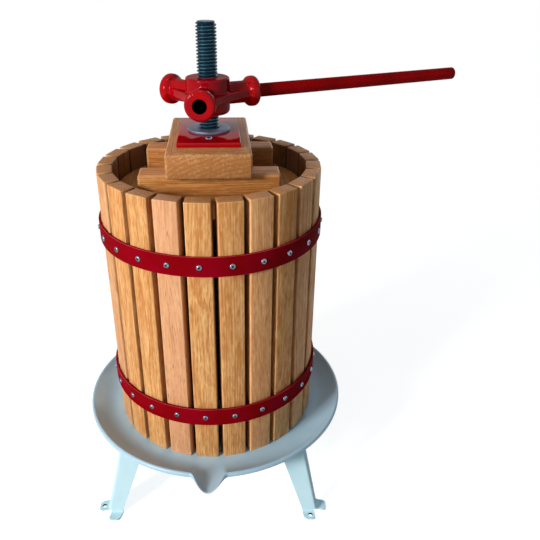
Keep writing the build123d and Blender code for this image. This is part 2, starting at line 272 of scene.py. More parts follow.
def paint(name, colour, deep, gloss, gloss_rough, peel_size, peel_depth, sheen_speck=None):
    """Sprayed paint: uneven depth of colour, orange peel, painted sheen specks, a painted
    highlight on marked edges, and bores darkened as bare metal and with painted shade.
    """
    graph = Graph(bpy.data.materials.new(name))
    place = graph.position()
    cloud = graph.even_noise(place, 22, detail=3)
    peel = graph.even_noise(place, 1 / (peel_size * MM))
    base = graph.mix(graph.spread(cloud, 0.3, 0.7), deep, colour)
    # Pale pink specks of painted sheen
    if sheen_speck:
        sheen_dots = graph.spread(graph.even_noise(place, 520, detail=3, roughness=0.7), 0.66, 0.74)
        base = graph.mix(graph.math("MULTIPLY", sheen_dots, 0.45), base, sheen_speck)
    # Marked edges, which only the hoops have, get a patchy pale pink painted highlight
    edge_highlight_patches = graph.spread(cloud, 0.35, 0.65, 0.3, 0.6)
    painted_edge_highlight = graph.math("MULTIPLY", graph.attribute("edge"), edge_highlight_patches)
    base = graph.mix(painted_edge_highlight, base, srgb(232, 116, 140))
    # Bores turn near black: bare metal, with painted shade
    base = graph.mix(graph.attribute("bore_shade"), base, srgb(14, 10, 10))
    relief = graph.bump(peel, peel_depth * MM)
    return graph.surface(
        Base_Color=base,
        Roughness=graph.spread(peel, 0.3, 0.7, 0.4, 0.5),
        Normal=relief,
        Specular_IOR_Level=0.0,
        Coat_Weight=gloss,
        Coat_Roughness=gloss_rough,
        Coat_Normal=relief,
    )


def bare_metal(name, colour, deep, rough):
    """Plated steel with soft clouding, fine scratches, and recesses darkened with painted shade.
    """
    graph = Graph(bpy.data.materials.new(name))
    place = graph.position()
    cloud = graph.even_noise(place, 160, detail=3)
    scratch = graph.noise(place, (2400, 2400, 300))
    base = graph.mix(graph.spread(cloud, 0.3, 0.7), deep, colour)
    return graph.surface(
        # Screw recesses turn dark with painted shade
        Base_Color=graph.mix(graph.attribute("bore_shade"), base, srgb(18, 24, 30)),
        Metallic=1.0,
        Roughness=graph.spread(scratch, 0.3, 0.7, *rough),
        Normal=graph.bump(scratch, 0.03 * MM),
    )


def thread_steel(name):
    """Dark oiled screw steel, brighter on the crests of the thread, as rubbed by the nut and as a
    painted highlight.
    """
    graph = Graph(bpy.data.materials.new(name))
    place = graph.position()
    crest_start = 12.4 * MM
    crest_end = 12.95 * MM
    crest = graph.spread(graph.axis_reach(place), crest_start, crest_end)
    cloud = graph.even_noise(place, 120, detail=4)
    grit = graph.even_noise(place, 1500)
    # Crests are lighter: rubbed by the nut, and a painted highlight
    rub_and_highlight = graph.math("MULTIPLY", crest, graph.spread(cloud, 0.35, 0.65, 0.3, 0.9))
    return graph.surface(
        Base_Color=graph.mix(rub_and_highlight, srgb(12, 40, 56), srgb(66, 104, 120)),
        Metallic=0.45,
        Roughness=graph.spread(grit, 0.3, 0.7, 0.28, 0.44),
        Specular_IOR_Level=0.1,
        Normal=graph.bump(grit, 0.06 * MM),
    )


def turned_steel(name):
    """Dull washer steel with the fine rings of a lathe tool."""
    graph = Graph(bpy.data.materials.new(name))
    place = graph.position()
    tool_feed = 0.45 * MM
    ring = graph.math("SINE", graph.math("MULTIPLY", graph.axis_reach(place), 2 * pi / tool_feed))
    cloud = graph.spread(graph.even_noise(place, 180, detail=3), 0.3, 0.7)
    return graph.surface(
        Base_Color=graph.mix(cloud, srgb(104, 108, 132), srgb(130, 134, 156)),
        Metallic=0.7,
        Roughness=graph.spread(cloud, 0, 1, 0.5, 0.62),
        Specular_IOR_Level=0.2,
        Normal=graph.bump(ring, 0.004 * MM),
    )


# Light and dark wood, end grain, and the gap between growth rings
wood_looks = {
    "stave_wood": (srgb(250, 198, 132), srgb(206, 136, 74), srgb(162, 114, 76), 3.2 * MM),
    "board_wood": (srgb(196, 140, 82), srgb(154, 100, 52), srgb(140, 96, 58), 3.0 * MM),
    "beam_wood": (srgb(222, 158, 90), srgb(176, 108, 50), srgb(176, 120, 70), 2.8 * MM),
    "block_wood": (srgb(246, 186, 120), srgb(170, 102, 54), srgb(206, 142, 84), 5.5 * MM),
}
# Colour and deeper colour, the gloss's weight and roughness, the orange peel's size and depth
# in millimetres, and the colour of the painted sheen specks where there are any
paint_looks = {
    "hoop_paint": (srgb(150, 2, 26), srgb(132, 1, 4), 0.03, 0.15, 1.6, 0.01),
    "plate_paint": (srgb(182, 1, 6), srgb(164, 1, 16), 0.4, 0.07, 2.0, 0.0006, srgb(214, 46, 60)),
    "cast_paint": (srgb(184, 2, 8), srgb(156, 2, 20), 0.18, 0.1, 1.6, 0.006, srgb(198, 20, 60)),
    "handle_paint": (srgb(164, 2, 6), srgb(140, 1, 4), 0.05, 0.14, 1.8, 0.005),
    "tray_paint": (srgb(186, 219, 238), srgb(174, 208, 229), 0.8, 0.3, 1.2, 0.02),
    "leg_paint": (srgb(214, 246, 255), srgb(202, 238, 250), 0.25, 0.36, 1.2, 0.02),
}
zinc_rough = (0.18, 0.32)
materials = {
    **{name: wood(name, *look) for name, look in wood_looks.items()},
    **{name: paint(name, *look) for name, look in paint_looks.items()},
    "zinc": bare_metal("zinc", srgb(136, 146, 158), srgb(100, 110, 122), zinc_rough),
    "spindle_steel": thread_steel("spindle_steel"),
    "washer_steel": turned_steel("washer_steel"),
}


# Mesh helpers

weld_distance = 0.002 * MM
hole_segments = 64


def skin(bm, rows, wrap=True):
    """Faces between rows of vertices, where a row of one vertex is a pole."""
    for low, high in zip(rows, rows[1:]):
        count = max(len(low), len(high))
        for index in range(count if wrap else count - 1):
            following = (index + 1) % count
            corners = [
                low[index % len(low)],
                low[following % len(low)],
                high[following % len(high)],
                high[index % len(high)],
            ]
            corners = list(dict.fromkeys(corners))
            if len(corners) > 2:
                bm.faces.new(corners)


def lathe(bm, profile, segments, place=Matrix()):
    """Turned shape from a profile of (radius, height) points about the place's Z."""
    angles = [2 * pi * index / segments for index in range(segments)]
    rows = []
    for radius, height in profile:
        row_angles = angles if radius else angles[:1]
        rows.append([bm.verts.new(place @ polar(radius, angle, height)) for angle in row_angles])
    skin(bm, rows)


def ring_corners(inner, outer, low_z, high_z):
    """Corners (radius, height) of a ring's section."""
    return [(inner, low_z), (outer, low_z), (outer, high_z), (inner, high_z)]


def lathe_ring(bm, corners, ease, segments):
    """Turned ring from the corners of its section, which are rounded off."""
    section = rounded(corners, ease, steps=3, closed=True)
    lathe(bm, section + section[:1], segments)


def prism(bm, outline, low_z, high_z):
    """Upright solid between two heights over an outline of (x, y) points."""
    rows = [[bm.verts.new((x, y, z)) for x, y in outline] for z in (low_z, high_z)]
    skin(bm, rows)
    for row in rows:
        bm.faces.new(row)


def curve_point(start, control, end, share):
    """Point of a quadratic curve at a share of its way."""
    return start * (1 - share) ** 2 + control * 2 * share * (1 - share) + end * share**2


def rounded(points, radius, steps=4, closed=False):
    """Polyline with its corners rounded by about a radius."""
    made = []
    count = len(points)
    for index, point in enumerate(points):
        corner = Vector(point)
        if not closed and index in (0, count - 1):
            made.append(tuple(corner))
            continue
        before = Vector(points[index - 1]) - corner
        after = Vector(points[(index + 1) % count]) - corner
        # The roundings at the two ends of a short side don't meet
        reach = min(radius, before.length * 0.49, after.length * 0.49)
        start = corner + before.normalized() * reach
        end = corner + after.normalized() * reach
        for step in range(steps + 1):
            made.append(tuple(curve_point(start, corner, end, step / steps)))
    return made


def ease_edges(bm, edges, width, segments=3):
    """Round edges off, and return the faces made for it."""
    eased = bmesh.ops.bevel(
        bm,
        geom=edges,
        offset=width,
        segments=segments,
        profile=0.5,
        affect="EDGES",
        clamp_overlap=True,
    )
    return set(eased["faces"])


def mark_face(face, layer, value):
    """Set a value on all corners of a face."""
    for loop in face.loops:
        loop[layer] = value


def smooth_shade(mesh, crease):
    """Smooth shading, with edges sharper than a crease angle in degrees left crisp."""
    for polygon in mesh.polygons:
        polygon.use_smooth = True
    mesh.set_sharp_from_angle(angle=radians(crease))


def make_object(name, bm, crease=35, outward=None):
    """Object from a bmesh with its doubles merged. An open sheet's first face looks outward."""
    bmesh.ops.remove_doubles(bm, verts=bm.verts, dist=weld_distance)
    bmesh.ops.recalc_face_normals(bm, faces=bm.faces)
    bm.normal_update()
    bm.faces.ensure_lookup_table()
    if outward and bm.faces[0].normal.dot(outward) < 0:
        bmesh.ops.reverse_faces(bm, faces=bm.faces)
    mesh = bpy.data.meshes.new(name)
    bm.to_mesh(mesh)
    bm.free()
    obj = new_object(name, mesh)
    smooth_shade(mesh, crease)
    return obj


def bake_modifiers(obj, crease=35):
    """Apply all modifiers of an object to its mesh."""
    shown = obj.evaluated_get(bpy.context.evaluated_depsgraph_get())
    mesh = bpy.data.meshes.new_from_object(shown)
    obj.modifiers.clear()
    obj.data = mesh
    smooth_shade(mesh, crease)


def thicken(obj, thickness, crease):
    """Give an open sheet its thickness, behind its outward face."""
    sheet = obj.modifiers.new("sheet", "SOLIDIFY")
    sheet.thickness = thickness
    sheet.offset = -1
    sheet.use_even_offset = True
    bake_modifiers(obj, crease)


def drill(obj, *holes):
    """Cut round holes, each a place whose Z is its axis, a radius and a length both ways."""
    bm = bmesh.new()
    for place, radius, reach in holes:
        profile = [(0, -reach), (radius, -reach), (radius, reach), (0, reach)]
        lathe(bm, profile, hole_segments, place)
    # Bore walls are marked to be darkened as bare metal and with painted shade
    bore_shade = bm.loops.layers.float.new("bore_shade")
    for face in bm.faces:
        mark_face(face, bore_shade, 1.0)
    cutter = make_object("cutter", bm)
    cut = obj.modifiers.new("holes", "BOOLEAN")
    cut.operation = "DIFFERENCE"
    cut.solver = "EXACT"
    cut.object = cutter
    bake_modifiers(obj)
    bpy.data.objects.remove(cutter)


def settle(obj, body, slot, *nodes):
    """Give a piece the material of its slot, hang it on its body, and hide the CAD nodes that it
    stands for.
    """
    obj.data.materials.clear()
    obj.data.materials.append(materials[slot])
    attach(obj, body)
    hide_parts(*nodes)


# Wooden pieces

# Reach in millimetres from a piece's middle to its pith, when it isn't given
pith_reaches = (35, 90)
# Steepest lean of the grain, and where in metres along the figure a piece may start
grain_slope = 0.03
grain_starts = (0, 10)
# A face looks along an axis when its normal's share of the axis is above this
facing = 0.9
# Juice stain and painted shade on a piece's sides, as a multiple of that of its inner face at the
# same depth; the extra paints shade into the gaps between staves
side_stain_and_shade = 1.6


def mark_wood(bm, grain_axis, bevelled, tones, pith=None, stain_and_shade_toward=None, blush=0.0):
    """Mark a wooden piece's grain about its pith, its ends, eased edges, juice stain with painted
    shade, tone and blush.

    The stain and painted shade grow along the vector stain_and_shade_toward, from none in the
    piece's middle to their full strength at the vector's tip.
    """
    along = Vector([1.0 if axis == grain_axis else 0.0 for axis in "XYZ"])
    across = Vector((0, 1, 0)) if grain_axis == "X" else Vector((1, 0, 0))
    through = along.cross(across)
    pith_angle, pith_reach = pith or (rng.uniform(0, 2 * pi), rng.uniform(*pith_reaches) * MM)
    slope_across = rng.uniform(-grain_slope, grain_slope)
    slope_through = rng.uniform(-grain_slope, grain_slope)
    start = rng.uniform(*grain_starts)
    tone = rng.uniform(*tones)

    grain_layer = bm.verts.layers.float_vector.new("grain")
    for vert in bm.verts:
        run = vert.co.dot(along)
        side = vert.co.dot(across) + pith_reach * cos(pith_angle) + slope_across * run
        depth = vert.co.dot(through) + pith_reach * sin(pith_angle) + slope_through * run
        vert[grain_layer] = (side, depth, run + start)

    names = ("end", "edge", "stain_and_shade", "tone", "blush")
    layers = {name: bm.loops.layers.float.new(name) for name in names}
    bm.normal_update()
    for face in bm.faces:
        end = 1.0 if abs(face.normal.dot(along)) > facing else 0.0
        mark_face(face, layers["end"], end)
        mark_face(face, layers["edge"], 1.0 if face in bevelled else 0.0)
        mark_face(face, layers["tone"], tone)
        mark_face(face, layers["blush"], blush)
        # Sides get more of the juice stain and painted shade than inner faces, to darken the gaps
        strength = side_stain_and_shade if abs(face.normal.dot(across)) > facing else 1.0
        for loop in face.loops:
            stain_and_shade_share = loop.vert.co.dot(stain_and_shade_toward) / stain_and_shade_toward.length_squared if stain_and_shade_toward else 0.0
            loop[layers["stain_and_shade"]] = max(stain_and_shade_share, 0.0) * (1 - end) * strength


def board(name, size, place, grain_axis, ease, tones, **marks):
    """Wooden block with eased edges, centred on its place."""
    bm = bmesh.new()
    bmesh.ops.create_cube(bm, size=1.0, matrix=Matrix.Diagonal((*size, 1)))
    eased = ease_edges(bm, bm.edges[:], ease)
    bmesh.ops.recalc_face_normals(bm, faces=bm.faces)
    mark_wood(bm, grain_axis, eased, tones, **marks)
    bmesh.ops.transform(bm, matrix=place, verts=bm.verts)
    return make_object(name, bm, crease=50)


# Basket

stave_count = 24
stave_thickness = 20.0 * MM
stave_gap = 2.5 * MM
stave_ease = 1.4 * MM
stave_tones = (0.88, 1.06)
# Staves of pinker wood, by number
stave_blush = {24: 0.9, 21: 0.4, 3: 0.3, 5: 0.35, 9: 0.7, 14: 0.5, 17: 0.8}
stave_01 = node_middle("stave_01")
stave_turn = turn_of(stave_01)
stave_face_radius = hypot(stave_01.x, stave_01.y) + stave_thickness / 2
stave_width = 2 * (stave_face_radius - stave_thickness) * tan(pi / stave_count) - stave_gap
stave_low, stave_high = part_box("stave_01")
stave_size = (stave_width, stave_thickness, stave_high[2] - stave_low[2])
inward = Vector((0, stave_thickness / 2, 0))

for number in range(1, stave_count + 1):
    node = f"stave_{number:02d}"
    middle = node_middle(node)
    place = Matrix.Translation(middle) @ Matrix.Rotation(turn_of(middle), 4, "Z")
    # The staves' inner faces get juice stain and painted shade, strongest inside the basket
    marks = {"stain_and_shade_toward": inward, "blush": stave_blush.get(number, 0.0)}
    stave = board(f"{node}_look", stave_size, place, "Z", stave_ease, stave_tones, **marks)
    settle(stave, "basket", "stave_wood", node)

hoop_inner = stave_face_radius / cos(pi / stave_count)
hoop_thickness = 3.0 * MM
hoop_outer = hoop_inner + hoop_thickness
hoop_edge = 0.9 * MM
hoop_segments = 240
# A face belongs to a rounded edge when its normal's upright share is between these; rounded edges
# get a painted highlight
hoop_edge_low = 0.2
hoop_edge_high = 0.9


def make_hoop(node):
    """Round steel band that lies on the staves' edges, with its own rounded edges marked for a
    painted highlight.
    """
    low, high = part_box(node)
    bm = bmesh.new()
    corners = ring_corners(hoop_inner, hoop_outer, low[2], high[2])
    lathe_ring(bm, corners, hoop_edge, hoop_segments)
    # Rounded edges are marked for a painted highlight line
    edge = bm.loops.layers.float.new("edge")
    bm.normal_update()
    for face in bm.faces:
        on_edge = hoop_edge_low < abs(face.normal.z) < hoop_edge_high
        mark_face(face, edge, 1.0 if on_edge else 0.0)
    return make_object(f"{node}_look", bm, crease=40)


head_segments = 32
# Rings of a screw head, as shares of its radius
head_rings = (0.0, 0.1, 0.2, 0.28, 0.36, 0.44, 0.52, 0.6, 0.7, 0.8, 0.9, 0.97, 1.0)
# Height of the head's rim as a share of its whole height, and the roundness of the dome on it
head_rim = 0.25
head_roundness = 0.6
# Width of the recess's sloping edge, as a share of the head's radius
recess_edge = 0.12
# Reach of the recess between the cross's arms, as a share of their own, and the arms' slimness
recess_waist = 0.45
recess_slimness = 5


def screw_head(bm, place, radius, height, recess_reach, recess_depth):
    """Domed screw head with a cross recess marked for painted shade, on the place's XY plane."""
    # The recess is marked for painted shade
    bore_shade = bm.verts.layers.float.get("bore_shade") or bm.verts.layers.float.new("bore_shade")
    angles = [2 * pi * index / head_segments for index in range(head_segments)]
    rows = []
    for share in head_rings:
        reach = radius * share
        dome = height * (head_rim + (1 - head_rim) * (1 - share**2) ** head_roundness)
        row = []
        for angle in angles if share else angles[:1]:
            arm = recess_waist + (1 - recess_waist) * abs(cos(2 * angle)) ** recess_slimness
            within = (recess_reach * arm - reach) / (recess_edge * radius)
            inside = min(max(within + 0.5, 0), 1)
            vert = bm.verts.new(place @ polar(reach, angle, dome - recess_depth * inside))
            vert[bore_shade] = inside
            row.append(vert)
        rows.append(row)
    rim = [bm.verts.new(place @ polar(radius, angle, 0)) for angle in angles]
    skin(bm, rows + [rim])
    bm.faces.new(rim)


hoop_head_radius = 3.7 * MM
hoop_head_height = 2.4 * MM
hoop_recess_reach = 2.1 * MM
hoop_recess_depth = 1.5 * MM
hoop_head = (hoop_head_radius, hoop_head_height, hoop_recess_reach, hoop_recess_depth)
for hoop_node in ("lower_hoop", "upper_hoop"):
    settle(make_hoop(hoop_node), "basket", "hoop_paint", hoop_node)
    bm = bmesh.new()
    for index in range(stave_count):
        way = heading(stave_turn + 2 * pi * index / stave_count)
        spot = way * hoop_outer + Vector((0, 0, node_middle(hoop_node).z))
        spin = Matrix.Rotation(rng.uniform(0, pi), 4, "Z")
        screw_head(bm, Matrix.Translation(spot) @ toward(way) @ spin, *hoop_head)
    hoop_screws = make_object(f"{hoop_node}_screws_look", bm, crease=30)
    settle(hoop_screws, "basket", "zinc", f"{hoop_node}_screws")


# Press stack

stack_turn = radians(3.5)
stack_spin = Matrix.Rotation(stack_turn, 4, "Z")
spindle_radius = 13.0 * MM
# Room around the press screw in the pieces that it passes through
block_play = 3.0 * MM
plate_play = 1.0 * MM
washer_play = 0.6 * MM
nut_play = 0.1 * MM
tray_play = 0.5 * MM
board_radius = 125.0 * MM
board_rim_steps = 48
board_split = 1.0 * MM
board_hole_radius = 17.0 * MM
board_hole_steps = 24
board_ease = 1.5 * MM
board_tones = (0.9, 1.0)
# Edges at which the board turns by more than this many degrees are eased
board_corner = 45
# Faces whose normals have a smaller upright share than this are darkened with juice stain and
# painted shade
board_rim_slope = 0.5


def half_board(node, side):
    """Half of the round press board, with a straight edge at the split and a rim darkened by
    juice stain and painted shade.
    """
    low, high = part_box(node)
    rim_steps = range(board_rim_steps + 1)
    hole_steps = range(board_hole_steps, -1, -1)
    outline = []
    for reach, steps in ((board_radius, rim_steps), (board_hole_radius, hole_steps)):
        limit = pi / 2 - board_split / 2 / reach
        for step in steps:
            angle = -limit + 2 * limit * step / max(steps)
            outline.append((side * reach * cos(angle), reach * sin(angle)))
    bm = bmesh.new()
    prism(bm, outline, low[2], high[2])
    bmesh.ops.recalc_face_normals(bm, faces=bm.faces)
    sharp = [edge for edge in bm.edges if edge.calc_face_angle() > radians(board_corner)]
    eased = ease_edges(bm, sharp, board_ease, segments=2)
    mark_wood(bm, "Y", eased, board_tones)
    stain_and_shade = bm.loops.layers.float["stain_and_shade"]
    # The rim and the cut faces get the full juice stain and painted shade
    for face in bm.faces:
        if abs(face.normal.z) < board_rim_slope:
            mark_face(face, stain_and_shade, 1.0)
    bmesh.ops.transform(bm, matrix=stack_spin, verts=bm.verts)
    return make_object(f"{node}_look", bm, crease=40)


for node, side in (("press_board_left", -1), ("press_board_right", 1)):
    settle(half_board(node, side), "press_stack", "board_wood", node)

beam_size = Vector((176.99, 36.0, 37.0)) * MM
beam_tones = (0.94, 1.02)
wood_ease = 3.2 * MM
for node in ("beam_front", "beam_rear"):
    place = Matrix.Translation(node_middle(node)) @ stack_spin
    beam = board(f"{node}_look", beam_size, place, "X", wood_ease, beam_tones)
    settle(beam, "press_stack", "beam_wood", node)

block_size = Vector((105.0, 182.0, 31.0)) * MM
block_tones = (0.92, 0.94)
block_pith = (radians(-112), 220 * MM)
block_centre = Matrix.Translation(node_middle("pressure_block"))
block_place = block_centre @ stack_spin
block = board(
    "pressure_block_look", block_size, block_place, "Y", wood_ease, block_tones, pith=block_pith
)
drill(block, (block_centre, spindle_radius + block_play, block_size.z))
settle(block, "press_stack", "block_wood", "pressure_block")

plate_size = Vector((79.0, 124.0, 6.0)) * MM
plate_ease = 0.9 * MM
plate_middle = node_middle("thrust_plate")
plate_centre = Matrix.Translation(plate_middle)
bm = bmesh.new()
bmesh.ops.create_cube(bm, size=1.0, matrix=Matrix.Diagonal((*plate_size, 1)))
ease_edges(bm, bm.edges[:], plate_ease)
bmesh.ops.transform(bm, matrix=plate_centre @ stack_spin, verts=bm.verts)
plate = make_object("thrust_plate_look", bm, crease=50)
drill(plate, (plate_centre, spindle_radius + plate_play, plate_size.z))
settle(plate, "press_stack", "plate_paint", "thrust_plate")

plate_screw_reach = 42.0 * MM
plate_head_radius = 4.5 * MM
plate_head_height = 2.5 * MM
plate_recess_reach = 2.4 * MM
plate_recess_depth = 1.6 * MM
plate_head = (plate_head_radius, plate_head_height, plate_recess_reach, plate_recess_depth)
bm = bmesh.new()
for side in (-1, 1):
    spot = stack_spin @ Vector((0, side * plate_screw_reach, 0))
    spot.z = plate_middle.z + plate_size.z / 2
    screw_head(bm, Matrix.Translation(spot), *plate_head)
plate_screws = make_object("plate_screws_look", bm, crease=30)
settle(plate_screws, "press_stack", "zinc", "plate_screws")

washer_low, washer_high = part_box("thrust_washer")
washer_outer = (washer_high[0] - washer_low[0]) / 2
washer_inner = spindle_radius + washer_play
washer_ease = 0.8 * MM
washer_segments = 96
washer_corners = ring_corners(washer_inner, washer_outer, washer_low[2], washer_high[2])
bm = bmesh.new()
lathe_ring(bm, washer_corners, washer_ease, washer_segments)
washer = make_object("thrust_washer_look", bm, crease=40)
settle(washer, "thrust_washer", "washer_steel", "thrust_washer")


# Press screw

thread_pitch = 4.0 * MM
thread_root = 10.9 * MM
thread_segments = 48
# Flanks and flats of the thread as (share of the pitch, radius)
thread_section = (
    (0.0, thread_root),
    (0.3, thread_root),
    (0.5, spindle_radius),
    (0.8, spindle_radius),
)
spindle_low, spindle_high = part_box("spindle")
spindle_chamfer = 2.6 * MM
spindle_end_radius = spindle_radius - spindle_chamfer
collar_width = 13.0 * MM
collar_radius = spindle_radius + collar_width
collar_height = 12.0 * MM
collar_ease = 1.5 * MM
collar_segments = 64
tray_floor_z = stave_low[2]
collar_top_z = tray_floor_z + collar_height


def thread_point(turn_share, rise, radius):
    """Point of the thread's surface, held inside the chamfered ends."""
    z = min(max(rise + thread_pitch * turn_share, spindle_low[2]), spindle_high[2])
    end_room = min(z - spindle_low[2], spindle_high[2] - z)
    return polar(min(radius, spindle_end_radius + end_room), 2 * pi * turn_share, z)


bm = bmesh.new()
# The thread starts one turn below the screw and ends above it, and is pressed flat at the ends
turn_count = int((spindle_high[2] - spindle_low[2]) / thread_pitch) + 2
turn_shares = [step / thread_segments for step in range(thread_segments + 1)]
strips = []
for turn in range(-1, turn_count):
    for share, radius in thread_section:
        rise = spindle_low[2] + (turn + share) * thread_pitch
        strip = [thread_point(turn_share, rise, radius) for turn_share in turn_shares]
        strips.append([bm.verts.new(point) for point in strip])
skin(bm, strips, wrap=False)
for z in (spindle_low[2], spindle_high[2]):
    lathe(bm, [(0, z), (spindle_end_radius, z)], thread_segments)
collar_corners = ring_corners(thread_root, collar_radius, tray_floor_z, collar_top_z)
lathe(bm, rounded(collar_corners, collar_ease, steps=3), collar_segments)
bmesh.ops.remove_doubles(bm, verts=bm.verts, dist=weld_distance)
bmesh.ops.dissolve_degenerate(bm, edges=bm.edges, dist=weld_distance)
spindle = make_object("spindle_look", bm, crease=28)
settle(spindle, "stand", "spindle_steel", "spindle")


# Press nut: rough shapes joined by a remesh, smoothed like a casting, then bored

nut_low, nut_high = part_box("press_nut")
mounts = {mount["name"]: mount for mount in frame["record"]["mounts"]}
front_way = Vector(mounts["handle_socket_front"]["axis"])
arm_z = mounts["handle_socket_front"]["pos_m"][2]
arm_count = 3
arm_turns = [turn_of(front_way) + 2 * pi * index / arm_count for index in range(arm_count)]
arm_centre = Matrix.Translation((0, 0, arm_z))
boss_radius = 28.0 * MM
boss_top_round = 2.5 * MM
boss_bottom_round = 6.0 * MM
boss_segments = 96
arm_radius = 14.0 * MM
arm_reach = 68.0 * MM
arm_round = 4.5 * MM
arm_segments = 64
bead_radius = 19.4 * MM
bead_length = 13.0 * MM
bead_shift = 1.0 * MM
bead_dome = 3.0 * MM
neck_length = 4.0 * MM
socket_radius = 9.0 * MM
socket_depth = 44.0 * MM
nut_bore_radius = spindle_radius + nut_play
nut_bore_reach = 60.0 * MM
web_thickness = 9.5 * MM
web_half = 11.0 * MM
web_waist = 35.0 * MM
web_reach = arm_reach - bead_length / 2
web_steps = 16
cast_voxel = 0.8 * MM
cast_relaxing = 0.5
cast_smoothing = 9
cast_thinning = 0.5


def web_outline():
    """Points (x, y) of the web, which has an end in each arm and hollow sides between them."""
    points = []
    for turn in arm_turns:
        next_turn = turn + 2 * pi / arm_count
        end = heading(turn) * web_reach
        side = heading(turn + pi / 2) * web_half
        next_end = heading(next_turn) * web_reach - heading(next_turn + pi / 2) * web_half
        start = end + side
        control = heading(turn + pi / arm_count) * web_waist * 2 - (start + next_end) / 2
        points.append(end - side)
        for step in range(web_steps):
            points.append(curve_point(start, control, next_end, step / web_steps))
    return [(point.x, point.y) for point in points]


bm = bmesh.new()
boss_foot = [(0, nut_low[2]), (boss_radius, nut_low[2]), (boss_radius, arm_z)]
boss_head = [(boss_radius, arm_z), (boss_radius, nut_high[2]), (0, nut_high[2])]
boss_section = rounded(boss_foot, boss_bottom_round, steps=6)
boss_section += rounded(boss_head, boss_top_round)[1:]
lathe(bm, boss_section, boss_segments)
bead_start = arm_reach - bead_length
arm_corners = [
    (0, 0),
    (arm_radius, 0),
    (arm_radius, bead_start - neck_length + bead_shift),
    (bead_radius, bead_start + bead_shift),
    (bead_radius, arm_reach - bead_dome),
    (bead_radius - bead_dome, arm_reach),
    (0, arm_reach),
]
arm_section = rounded(arm_corners, arm_round, steps=5)
for turn in arm_turns:
    lathe(bm, arm_section, arm_segments, arm_centre @ toward(heading(turn)))
prism(bm, web_outline(), arm_z - web_thickness / 2, arm_z + web_thickness / 2)
nut = make_object("press_nut_look", bm)
remesh = nut.modifiers.new("join", "REMESH")
remesh.mode = "VOXEL"
remesh.voxel_size = cast_voxel
relax = nut.modifiers.new("cast", "SMOOTH")
relax.factor = cast_relaxing
relax.iterations = cast_smoothing
thin = nut.modifiers.new("thin", "DECIMATE")
thin.ratio = cast_thinning
bake_modifiers(nut)
bores = [(arm_centre, nut_bore_radius, nut_bore_reach)]
for turn in arm_turns:
    mouth = heading(turn) * arm_reach + Vector((0, 0, arm_z))
    socket_place = Matrix.Translation(mouth) @ toward(heading(turn))
    bores.append((socket_place, socket_radius, socket_depth))
drill(nut, *bores)
settle(nut, "nut", "cast_paint", "press_nut")


# Handle

handle_length = 377.0 * MM
handle_turn = arm_turns[1]
handle_play = 0.3 * MM
handle_gap = 2.0 * MM
handle_radius = socket_radius - handle_play
handle_start = arm_reach - socket_depth + handle_gap
handle_end = handle_start + handle_length
handle_dome = 3.5 * MM
handle_dome_steps = 8
handle_edge = 1.0 * MM
handle_spans = 24
handle_segments = 48
handle_body = handle_end - handle_dome - handle_start
handle_section = [
    (0, handle_start),
    (handle_radius - handle_edge, handle_start),
    (handle_radius, handle_start + handle_edge),
]
for span in range(1, handle_spans + 1):
    handle_section.append((handle_radius, handle_start + handle_body * span / handle_spans))
for step in range(1, handle_dome_steps):
    angle = pi / 2 * step / handle_dome_steps
    dome_height = handle_end - handle_dome * (1 - sin(angle))
    handle_section.append((handle_radius * cos(angle), dome_height))
handle_section.append((0, handle_end))
bm = bmesh.new()
lathe(bm, handle_section, handle_segments, arm_centre @ toward(heading(handle_turn)))
handle = make_object("handle_bar_look", bm, crease=60)
settle(handle, "handle", "handle_paint", "handle_bar")


# Tray: a dish whose wall is an arc that runs on into a rolled lip, with a spout at the front

tray_low, tray_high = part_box("tray")
tray_sheet = 2.0 * MM
tray_hole_radius = spindle_radius + tray_play
# Radii of the rings of points on the flat floor
floor_rings = (tray_hole_radius, 60 * MM, 110 * MM, 140 * MM)
floor_margin = 9.5 * MM
floor_radius = stave_face_radius + floor_margin
lip_radius = tray_high[0]
lip_drop = 6.0 * MM
dish_run = 34.5 * MM
dish_rise = tray_high[2] - tray_floor_z
dish_curve = (dish_run**2 + dish_rise**2) / (2 * dish_rise)
dish_reach = lip_radius - floor_radius
# This roll goes on smoothly from the wall's arc and just touches the rim's height and the
# lip's radius
lip_roll = dish_reach + dish_rise - sqrt(2 * dish_rise * (dish_reach + dish_curve))
wall_turn = asin((dish_reach - lip_roll) / (dish_curve + lip_roll))
wall_run = dish_curve * sin(wall_turn)
wall_rise = dish_curve * (1 - cos(wall_turn))
wall_steps = 16
roll_steps = 8
spout_half = 26.0 * MM
spout_bluntness = 1.35
# The lip is unrolled at the spout's tip, and this makes up for what it then reaches less far
spout_extra = 2.2 * MM
spout_reach = -tray_low[1] - lip_radius + spout_extra
spout_rise = 3.0 * MM
spout_crease = 0.16
spout_unroll = 0.5
# The lip's skirt narrows towards the spout's tip by this power, but not below this share
skirt_fade = 3
skirt_least = 0.05


